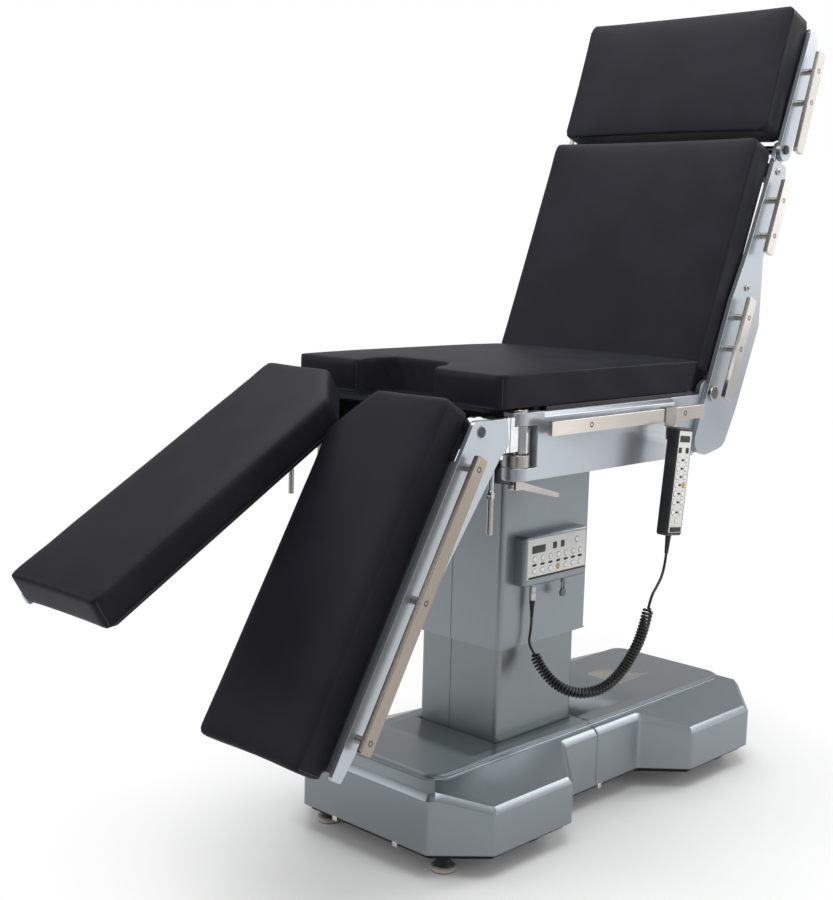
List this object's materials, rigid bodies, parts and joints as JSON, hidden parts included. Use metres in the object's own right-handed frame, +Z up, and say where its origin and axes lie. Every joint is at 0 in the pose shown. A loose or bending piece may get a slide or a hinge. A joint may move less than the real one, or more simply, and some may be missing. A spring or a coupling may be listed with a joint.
{
  "type": "operating table",
  "caption": "Electro-hydraulic operating table: lobed base, sleeve column, black cushions, raised back and head sections, separately hinged leg sections and a corded hand control",
  "frame": {"origin": "On the floor, at the centre of the four levelling feet", "axes": "+X to the patient's head end, +Y to the patient's right side, +Z up"},
  "size_m": [1.5638, 0.6184, 1.5834],
  "materials": {
    "cover_paint": "satin",
    "frame_paint": "satin",
    "dark_paint": "semi-gloss",
    "stainless": "brushed",
    "chrome": "polished",
    "steel": "machined",
    "upholstery": "matte",
    "board": "matte",
    "handset_plastic": "matte",
    "rubber": "matte"
  },
  "bodies": {
    "base": {"base_chassis": "dark_paint", "front_base_cover": "cover_paint", "rear_base_cover": "cover_paint", "column_lower_cover": "cover_paint", "lift_guide": "steel", "hydraulic_pack": "dark_paint"},
    "foot_1": {"levelling_foot_1": "stainless"},
    "foot_2": {"levelling_foot_2": "stainless"},
    "foot_3": {"levelling_foot_3": "stainless"},
    "foot_4": {"levelling_foot_4": "stainless"},
    "column": {"column_upper_cover": "cover_paint", "lift_ram": "stainless", "column_head": "steel", "control_box": "cover_paint", "cord_plug": "stainless", "cord_tail": "rubber", "cord_coil": "rubber"},
    "dust_cap": {"dust_cap": "rubber"},
    "yoke": {"tilt_yoke": "steel", "handset_cord": "rubber"},
    "seat": {"seat_beam_left": "frame_paint", "seat_beam_right": "frame_paint", "seat_cross_members": "frame_paint", "seat_board": "board", "seat_cushion": "upholstery", "seat_rails": "stainless", "seat_rail_posts": "stainless", "back_hinge_pins": "stainless", "handset_clip": "stainless", "handset": "handset_plastic", "crown_rings": "chrome", "clamp_rods": "chrome"},
    "back": {"back_plates": "frame_paint", "back_cross_members": "frame_paint", "back_board": "board", "back_cushion": "upholstery", "back_rails": "stainless", "back_rail_posts": "stainless", "head_hinge_bar": "stainless"},
    "head": {"head_plates": "frame_paint", "head_board": "board", "head_cushion": "upholstery", "head_rails": "stainless", "head_rail_posts": "stainless"},
    "swivel_left": {"swivel_arm_left": "chrome"},
    "cam_left": {"cam_lever_left": "chrome"},
    "lock_left": {"lock_handle_left": "chrome"},
    "leg_left": {"leg_plate_left": "frame_paint", "leg_board_left": "board", "leg_cushion_left": "upholstery", "leg_rail_left": "stainless", "leg_rail_posts_left": "stainless"},
    "swivel_right": {"swivel_arm_right": "chrome"},
    "cam_right": {"cam_lever_right": "chrome"},
    "lock_right": {"lock_handle_right": "chrome"},
    "leg_right": {"leg_plate_right": "frame_paint", "leg_board_right": "board", "leg_cushion_right": "upholstery", "leg_rail_right": "stainless", "leg_rail_posts_right": "stainless"}
  },
  "joints": [
    {"name": "column_lift", "type": "slide", "parent": "base", "child": "column", "axis": [0, 0, 1], "range_m": [-0.085, 0.18]},
    {"name": "trendelenburg_tilt", "type": "hinge", "parent": "column", "child": "yoke", "pos_m": [-0.126, 0, 0.745], "axis": [0, 1, 0], "range_deg": [-25, 25], "deforming": ["cord_coil"]},
    {"name": "lateral_tilt", "type": "hinge", "parent": "yoke", "child": "seat", "pos_m": [-0.126, 0, 0.745], "axis": [1, 0, 0], "range_deg": [-18, 18], "deforming": ["handset_cord"]},
    {"name": "back_hinge", "type": "hinge", "parent": "seat", "child": "back", "pos_m": [0.166, 0, 0.822], "axis": [0, -1, 0], "range_deg": [-88.8, 0]},
    {"name": "head_hinge", "type": "hinge", "parent": "back", "child": "head", "pos_m": [0.38952, 0, 1.29927], "axis": [0, -1, 0], "range_deg": [-70, 15]},
    {"name": "dust_cap_swing", "type": "hinge", "parent": "column", "child": "dust_cap", "pos_m": [-0.098, -0.1215, 0.465], "axis": [-1, 0, 0], "range_deg": [0, 80]},
    {"name": "leg_swivel_left", "type": "hinge", "parent": "seat", "child": "swivel_left", "pos_m": [-0.392, -0.238, 0.775], "axis": [0, 0, 1], "range_deg": [0, 80]},
    {"name": "leg_pitch_left", "type": "hinge", "parent": "swivel_left", "child": "leg_left", "pos_m": [-0.511, -0.258, 0.7985], "axis": [0, -1, 0], "range_deg": [-70, 28]},
    {"name": "cam_clamp_left", "type": "hinge", "parent": "seat", "child": "cam_left", "pos_m": [-0.392, -0.238, 0.698], "axis": [0, 1, 0], "range_deg": [0, 75]},
    {"name": "lock_fold_left", "type": "hinge", "parent": "swivel_left", "child": "lock_left", "pos_m": [-0.466, -0.2473, 0.69], "axis": [0, -1, 0], "range_deg": [-70, 0]},
    {"name": "leg_swivel_right", "type": "hinge", "parent": "seat", "child": "swivel_right", "pos_m": [-0.392, 0.238, 0.775], "axis": [0, 0, -1], "range_deg": [0, 80]},
    {"name": "leg_pitch_right", "type": "hinge", "parent": "swivel_right", "child": "leg_right", "pos_m": [-0.511, 0.258, 0.7985], "axis": [0, -1, 0], "range_deg": [-40.6, 57.4]},
    {"name": "cam_clamp_right", "type": "hinge", "parent": "seat", "child": "cam_right", "pos_m": [-0.392, 0.238, 0.698], "axis": [0, 1, 0], "range_deg": [0, 75]},
    {"name": "lock_fold_right", "type": "hinge", "parent": "swivel_right", "child": "lock_right", "pos_m": [-0.466, 0.2473, 0.69], "axis": [0, -1, 0], "range_deg": [-70, 0]},
    {"name": "foot_screw_1", "type": "slide", "parent": "base", "child": "foot_1", "axis": [0, 0, 1], "range_m": [-0.012, 0]},
    {"name": "foot_screw_2", "type": "slide", "parent": "base", "child": "foot_2", "axis": [0, 0, 1], "range_m": [-0.012, 0]},
    {"name": "foot_screw_3", "type": "slide", "parent": "base", "child": "foot_3", "axis": [0, 0, 1], "range_m": [-0.012, 0]},
    {"name": "foot_screw_4", "type": "slide", "parent": "base", "child": "foot_4", "axis": [0, 0, 1], "range_m": [-0.012, 0]}
  ]
}
